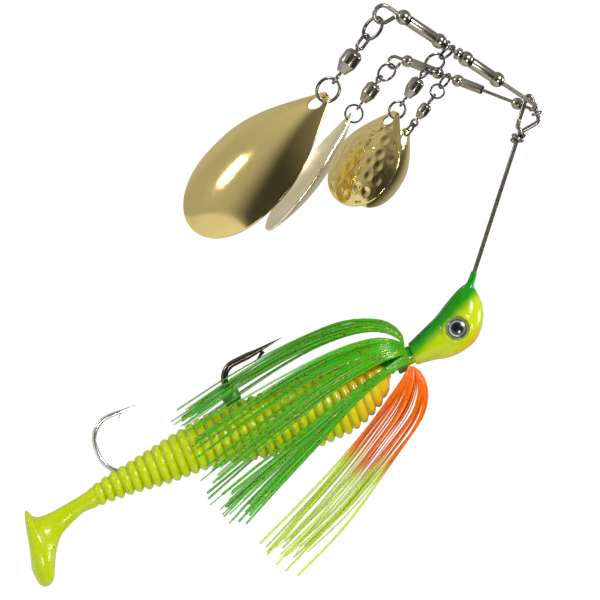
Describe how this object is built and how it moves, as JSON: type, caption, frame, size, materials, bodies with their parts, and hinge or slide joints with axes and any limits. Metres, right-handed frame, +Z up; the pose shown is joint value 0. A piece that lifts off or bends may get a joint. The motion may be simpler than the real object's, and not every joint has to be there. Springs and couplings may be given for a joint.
{
  "type": "spinnerbait",
  "caption": "Fishing lure: a wire frame with two bladed arms of swivels, rings and beads, a painted jig head with two hooks, a strand skirt and a ribbed paddle-tail trailer.",
  "frame": {"origin": "centre of the line-tie eye, from which the lure hangs", "axes": "+Z up along the line, -X out along the blade arms, -Y the side that the larger arm leans to"},
  "size_m": [0.0854, 0.0473, 0.1716],
  "materials": {
    "steel_wire": "bright drawn stainless wire",
    "nickel_plate": "polished nickel with a warm tint",
    "gold_plate": "mirror-bright gold plate",
    "pale_gold": "mirror-bright pale gold plate",
    "black_nickel": "black nickel plate",
    "hook_nickel": "bright nickel plate",
    "head_paint": "gloss paint fading from green through chartreuse to orange",
    "eye_resin": "clear dome over a black pupil and silver rings",
    "stopper_rubber": "translucent green",
    "collar_rubber": "matt",
    "trailer_plastic": "translucent ribbed soft plastic",
    "skirt_green": "satin silicone strands with dark and gold flecks",
    "skirt_orange": "satin silicone strands that fade to chartreuse"
  },
  "bodies": {
    "wire_frame": {"main_wire": "steel_wire", "upper_arm_wire": "steel_wire", "lower_arm_wire": "steel_wire", "jig_head": "head_paint", "near_eye": "eye_resin", "far_eye": "eye_resin", "main_hook": "black_nickel", "stinger_hook": "hook_nickel", "hook_stopper": "stopper_rubber", "trailer_body": "trailer_plastic", "skirt_collar": "collar_rubber", "skirt_top_near": "skirt_green", "skirt_top_far": "skirt_green", "skirt_shoulder_near": "skirt_green", "skirt_shoulder_far": "skirt_green", "skirt_side_near": "skirt_green", "skirt_side_far": "skirt_green", "skirt_throat_near": "skirt_orange", "skirt_throat_far": "skirt_orange"},
    "upper_end_bead": {"upper_end_bead": "nickel_plate"},
    "upper_inner_tube": {"upper_inner_tube": "nickel_plate"},
    "upper_inner_bead": {"upper_inner_bead": "nickel_plate"},
    "upper_inner_washer": {"upper_inner_washer": "nickel_plate"},
    "upper_outer_washer": {"upper_outer_washer": "nickel_plate"},
    "upper_mid_bead": {"upper_mid_bead": "nickel_plate"},
    "upper_outer_tube": {"upper_outer_tube": "nickel_plate"},
    "upper_outer_bead": {"upper_outer_bead": "nickel_plate"},
    "lower_end_bead": {"lower_end_bead": "nickel_plate"},
    "lower_inner_tube": {"lower_inner_tube": "nickel_plate"},
    "lower_inner_bead": {"lower_inner_bead": "nickel_plate"},
    "lower_mid_bead": {"lower_mid_bead": "nickel_plate"},
    "lower_outer_tube": {"lower_outer_tube": "nickel_plate"},
    "lower_outer_bead": {"lower_outer_bead": "nickel_plate"},
    "big_top_ring": {"big_top_ring": "steel_wire"},
    "big_swivel_barrel": {"big_swivel_barrel": "nickel_plate", "big_swivel_eye": "steel_wire"},
    "big_swivel_foot": {"big_swivel_foot": "steel_wire"},
    "big_blade_ring": {"big_blade_ring": "steel_wire"},
    "big_blade": {"big_blade": "gold_plate"},
    "pale_top_ring": {"pale_top_ring": "steel_wire"},
    "pale_swivel_barrel": {"pale_swivel_barrel": "nickel_plate", "pale_swivel_eye": "steel_wire"},
    "pale_swivel_foot": {"pale_swivel_foot": "steel_wire"},
    "pale_blade_ring": {"pale_blade_ring": "steel_wire"},
    "pale_blade": {"pale_blade": "pale_gold"},
    "hammered_wire_ring": {"hammered_wire_ring": "steel_wire"},
    "hammered_link_ring": {"hammered_link_ring": "steel_wire"},
    "hammered_swivel_barrel": {"hammered_swivel_barrel": "nickel_plate", "hammered_swivel_eye": "steel_wire"},
    "hammered_swivel_foot": {"hammered_swivel_foot": "steel_wire"},
    "hammered_blade_ring": {"hammered_blade_ring": "steel_wire"},
    "hammered_blade": {"hammered_blade": "gold_plate"},
    "back_wire_ring": {"back_wire_ring": "steel_wire"},
    "back_link_ring": {"back_link_ring": "steel_wire"},
    "back_swivel_barrel": {"back_swivel_barrel": "nickel_plate", "back_swivel_eye": "steel_wire"},
    "back_swivel_foot": {"back_swivel_foot": "steel_wire"},
    "back_blade_ring": {"back_blade_ring": "steel_wire"},
    "back_blade": {"back_blade": "gold_plate"},
    "trailer_tail": {"trailer_tail": "trailer_plastic"}
  },
  "joints": [
    {"name": "upper_end_bead_spin", "type": "hinge", "parent": "wire_frame", "child": "upper_end_bead", "pos_m": [-0.01248, -0.00569, 0.00381], "axis": [-0.9387, -0.3417, -0.0454], "continuous": true},
    {"name": "upper_inner_tube_spin", "type": "hinge", "parent": "wire_frame", "child": "upper_inner_tube", "pos_m": [-0.01713, -0.00738, 0.00358], "axis": [-0.9387, -0.3417, -0.0454], "continuous": true},
    {"name": "upper_inner_bead_spin", "type": "hinge", "parent": "wire_frame", "child": "upper_inner_bead", "pos_m": [-0.02177, -0.00907, 0.00336], "axis": [-0.9387, -0.3417, -0.0454], "continuous": true},
    {"name": "upper_inner_washer_spin", "type": "hinge", "parent": "wire_frame", "child": "upper_inner_washer", "pos_m": [-0.02412, -0.00993, 0.00324], "axis": [-0.9387, -0.3417, -0.0454], "continuous": true},
    {"name": "upper_outer_washer_spin", "type": "hinge", "parent": "wire_frame", "child": "upper_outer_washer", "pos_m": [-0.02769, -0.01123, 0.00307], "axis": [-0.9387, -0.3417, -0.0454], "continuous": true},
    {"name": "upper_mid_bead_spin", "type": "hinge", "parent": "wire_frame", "child": "upper_mid_bead", "pos_m": [-0.0298, -0.01199, 0.00297], "axis": [-0.9387, -0.3417, -0.0454], "continuous": true},
    {"name": "upper_outer_tube_spin", "type": "hinge", "parent": "wire_frame", "child": "upper_outer_tube", "pos_m": [-0.0351, -0.01392, 0.00271], "axis": [-0.9387, -0.3417, -0.0454], "continuous": true},
    {"name": "upper_outer_bead_spin", "type": "hinge", "parent": "wire_frame", "child": "upper_outer_bead", "pos_m": [-0.04041, -0.01585, 0.00246], "axis": [-0.9387, -0.3417, -0.0454], "continuous": true},
    {"name": "lower_end_bead_spin", "type": "hinge", "parent": "wire_frame", "child": "lower_end_bead", "pos_m": [-0.0048, 0.00344, 0.00211], "axis": [-0.9018, 0.3643, -0.2326], "continuous": true},
    {"name": "lower_inner_tube_spin", "type": "hinge", "parent": "wire_frame", "child": "lower_inner_tube", "pos_m": [-0.01645, 0.00815, -0.00089], "axis": [-0.9018, 0.3643, -0.2326], "continuous": true},
    {"name": "lower_inner_bead_spin", "type": "hinge", "parent": "wire_frame", "child": "lower_inner_bead", "pos_m": [-0.02019, 0.00966, -0.00186], "axis": [-0.9018, 0.3643, -0.2326], "continuous": true},
    {"name": "lower_mid_bead_spin", "type": "hinge", "parent": "wire_frame", "child": "lower_mid_bead", "pos_m": [-0.02542, 0.01177, -0.00321], "axis": [-0.9018, 0.3643, -0.2326], "continuous": true},
    {"name": "lower_outer_tube_spin", "type": "hinge", "parent": "wire_frame", "child": "lower_outer_tube", "pos_m": [-0.02936, 0.01336, -0.00422], "axis": [-0.9018, 0.3643, -0.2326], "continuous": true},
    {"name": "lower_outer_bead_spin", "type": "hinge", "parent": "wire_frame", "child": "lower_outer_bead", "pos_m": [-0.0333, 0.01496, -0.00524], "axis": [-0.9018, 0.3643, -0.2326], "continuous": true},
    {"name": "big_top_ring_swing", "type": "hinge", "parent": "wire_frame", "child": "big_top_ring", "pos_m": [-0.04496, -0.01751, -0.00217], "axis": [-0.9387, -0.3417, -0.0454], "range_deg": [-20, 20]},
    {"name": "big_swivel_barrel_swing", "type": "hinge", "parent": "big_top_ring", "child": "big_swivel_barrel", "pos_m": [-0.04496, -0.01751, -0.00733], "axis": [0.6018, -0.7986, 0], "range_deg": [-12, 12]},
    {"name": "big_swivel_foot_spin", "type": "hinge", "parent": "big_swivel_barrel", "child": "big_swivel_foot", "pos_m": [-0.04496, -0.01751, -0.01786], "axis": [0, 0, 1], "continuous": true},
    {"name": "big_blade_ring_swing", "type": "hinge", "parent": "big_swivel_foot", "child": "big_blade_ring", "pos_m": [-0.04496, -0.01751, -0.02102], "axis": [-0.1045, 0.9945, 0], "range_deg": [-12, 12]},
    {"name": "big_blade_swing", "type": "hinge", "parent": "big_blade_ring", "child": "big_blade", "pos_m": [-0.04496, -0.01751, -0.02631], "axis": [0.866, 0.5, 0], "range_deg": [-15, 15]},
    {"name": "pale_top_ring_swing", "type": "hinge", "parent": "wire_frame", "child": "pale_top_ring", "pos_m": [-0.03559, 0.01588, -0.00892], "axis": [-0.9018, 0.3643, -0.2326], "range_deg": [-20, 20]},
    {"name": "pale_swivel_barrel_swing", "type": "hinge", "parent": "pale_top_ring", "child": "pale_swivel_barrel", "pos_m": [-0.03643, 0.01588, -0.01283], "axis": [0.7269, 0.6691, -0.1545], "range_deg": [-12, 12]},
    {"name": "pale_swivel_foot_spin", "type": "hinge", "parent": "pale_swivel_barrel", "child": "pale_swivel_foot", "pos_m": [-0.03643, 0.01588, -0.02008], "axis": [0, 0, 1], "continuous": true},
    {"name": "pale_blade_ring_swing", "type": "hinge", "parent": "pale_swivel_foot", "child": "pale_blade_ring", "pos_m": [-0.03643, 0.01588, -0.02229], "axis": [0, 1, 0], "range_deg": [-12, 12]},
    {"name": "pale_blade_swing", "type": "hinge", "parent": "pale_blade_ring", "child": "pale_blade", "pos_m": [-0.03643, 0.01588, -0.02598], "axis": [1, 0, 0], "range_deg": [-15, 15]},
    {"name": "hammered_wire_ring_swing", "type": "hinge", "parent": "wire_frame", "child": "hammered_wire_ring", "pos_m": [-0.02619, -0.01068, 0.00314], "axis": [-0.9387, -0.3417, -0.0454], "range_deg": [-15, 15]},
    {"name": "hammered_link_ring_swing", "type": "hinge", "parent": "hammered_wire_ring", "child": "hammered_link_ring", "pos_m": [-0.02704, -0.01068, -0.00028], "axis": [0.3319, -0.9397, -0.0827], "range_deg": [-12, 12]},
    {"name": "hammered_swivel_barrel_swing", "type": "hinge", "parent": "hammered_link_ring", "child": "hammered_swivel_barrel", "pos_m": [-0.02813, -0.01068, -0.00466], "axis": [0.7211, 0.6691, -0.1798], "range_deg": [-12, 12]},
    {"name": "hammered_swivel_foot_spin", "type": "hinge", "parent": "hammered_swivel_barrel", "child": "hammered_swivel_foot", "pos_m": [-0.02813, -0.01068, -0.01302], "axis": [0, 0, 1], "continuous": true},
    {"name": "hammered_blade_ring_swing", "type": "hinge", "parent": "hammered_swivel_foot", "child": "hammered_blade_ring", "pos_m": [-0.02813, -0.01068, -0.01565], "axis": [0, 1, 0], "range_deg": [-12, 12]},
    {"name": "hammered_blade_swing", "type": "hinge", "parent": "hammered_blade_ring", "child": "hammered_blade", "pos_m": [-0.02813, -0.01068, -0.01928], "axis": [0.866, 0.5, 0], "range_deg": [-15, 15]},
    {"name": "back_wire_ring_swing", "type": "hinge", "parent": "wire_frame", "child": "back_wire_ring", "pos_m": [-0.0228, 0.01071, -0.00253], "axis": [-0.9018, 0.3643, -0.2326], "range_deg": [-15, 15]},
    {"name": "back_link_ring_swing", "type": "hinge", "parent": "back_wire_ring", "child": "back_link_ring", "pos_m": [-0.0228, 0.01071, -0.00594], "axis": [0.3746, 0.9272, 0], "range_deg": [-10, 10]},
    {"name": "back_swivel_barrel_swing", "type": "hinge", "parent": "back_link_ring", "child": "back_swivel_barrel", "pos_m": [-0.0228, 0.01071, -0.00877], "axis": [0.9703, -0.2419, 0], "range_deg": [-12, 12]},
    {"name": "back_swivel_foot_spin", "type": "hinge", "parent": "back_swivel_barrel", "child": "back_swivel_foot", "pos_m": [-0.0228, 0.01071, -0.01535], "axis": [0, 0, 1], "continuous": true},
    {"name": "back_blade_ring_swing", "type": "hinge", "parent": "back_swivel_foot", "child": "back_blade_ring", "pos_m": [-0.0228, 0.01071, -0.01775], "axis": [0.9703, 0.2419, 0], "range_deg": [-12, 12]},
    {"name": "back_blade_swing", "type": "hinge", "parent": "back_blade_ring", "child": "back_blade", "pos_m": [-0.0228, 0.01071, -0.02068], "axis": [-0.309, 0.9511, 0], "range_deg": [-15, 15]},
    {"name": "tail_wag", "type": "hinge", "parent": "wire_frame", "child": "trailer_tail", "pos_m": [-0.03379, 0, -0.14213], "axis": [-0.8508, 0, 0.5255], "range_deg": [-25, 25], "stiffness_Nm_per_rad": 0.0006}
  ]
}
